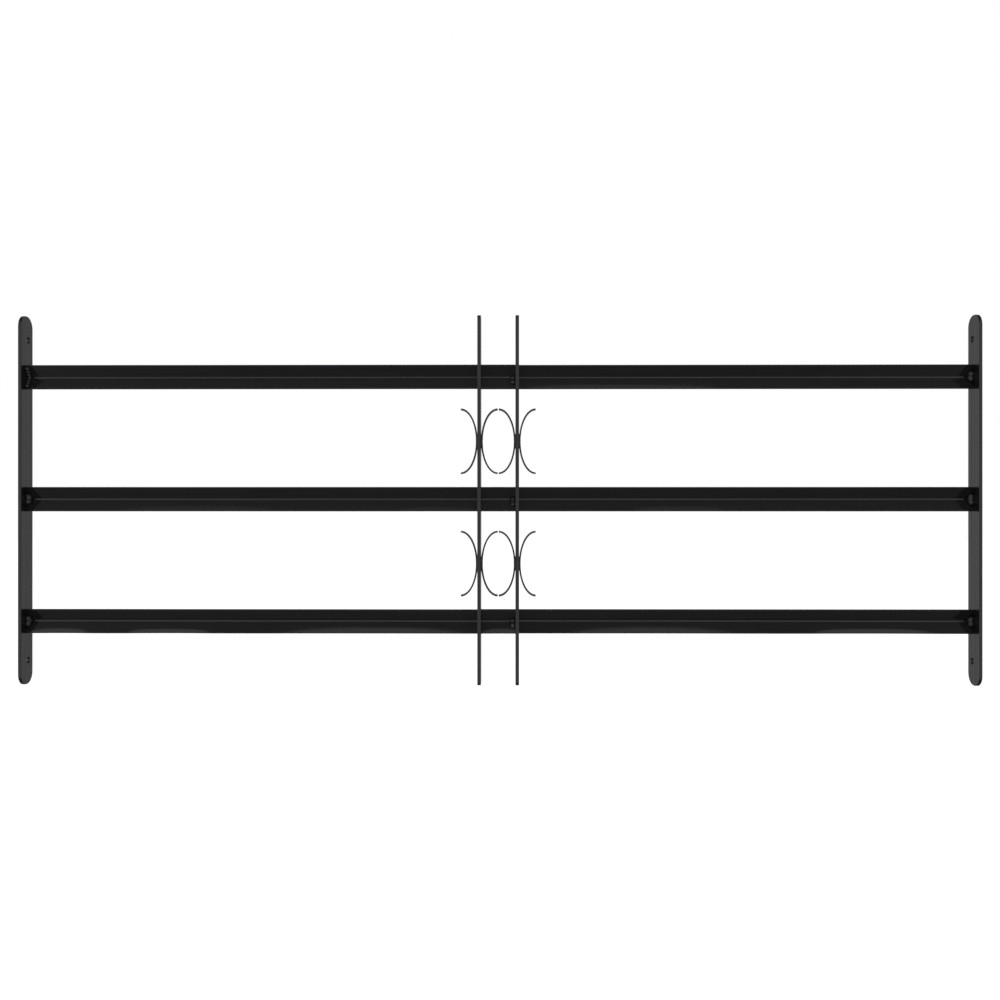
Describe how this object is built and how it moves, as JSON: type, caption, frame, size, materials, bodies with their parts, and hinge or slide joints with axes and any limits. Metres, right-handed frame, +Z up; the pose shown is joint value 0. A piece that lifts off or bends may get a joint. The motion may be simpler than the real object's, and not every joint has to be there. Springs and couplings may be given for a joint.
{
  "type": "telescoping window security grille",
  "caption": "Telescoping steel window grille: two welded halves with folded crossbars, slotted uprights and C-scrolls slide into each other; drilled end plates screw to the reveal.",
  "frame": {"origin": "centre of the grille's box, drawn out as it is fitted: halfway between the end plates' outer faces, halfway up and halfway through their depth", "axes": "+X along the crossbars towards the right end plate, seen from the front; -Y out of the front, where the bars' grooves open; +Z up"},
  "size_m": [1.162, 0.03, 0.45],
  "materials": {
    "plate_powder_coat": "black powder coat, semi-gloss, on flat steel",
    "bar_powder_coat": "black powder coat, semi-gloss, on folded steel strip",
    "upright_powder_coat": "black powder coat, semi-gloss, on flat steel",
    "scroll_powder_coat": "black powder coat, semi-gloss, on bent steel strip",
    "weld_powder_coat": "black powder coat, semi-gloss, over rough weld beads"
  },
  "bodies": {
    "left_half": {"left_end_plate": "plate_powder_coat", "left_bar_top": "bar_powder_coat", "left_bar_middle": "bar_powder_coat", "left_bar_bottom": "bar_powder_coat", "left_half_upright": "upright_powder_coat", "left_half_scroll_upper_a": "scroll_powder_coat", "left_half_scroll_upper_b": "scroll_powder_coat", "left_half_scroll_lower_a": "scroll_powder_coat", "left_half_scroll_lower_b": "scroll_powder_coat", "left_plate_welds": "weld_powder_coat", "left_upright_welds": "weld_powder_coat", "left_scroll_welds": "weld_powder_coat"},
    "right_half": {"right_end_plate": "plate_powder_coat", "right_bar_top": "bar_powder_coat", "right_bar_middle": "bar_powder_coat", "right_bar_bottom": "bar_powder_coat", "right_half_upright": "upright_powder_coat", "right_half_scroll_upper_a": "scroll_powder_coat", "right_half_scroll_upper_b": "scroll_powder_coat", "right_half_scroll_lower_a": "scroll_powder_coat", "right_half_scroll_lower_b": "scroll_powder_coat", "right_plate_welds": "weld_powder_coat", "right_upright_welds": "weld_powder_coat", "right_scroll_welds": "weld_powder_coat"}
  },
  "joints": [
    {"name": "width_slide", "type": "slide", "parent": "left_half", "child": "right_half", "axis": [-1, 0, 0], "range_m": [-0.001, 0.529]}
  ]
}
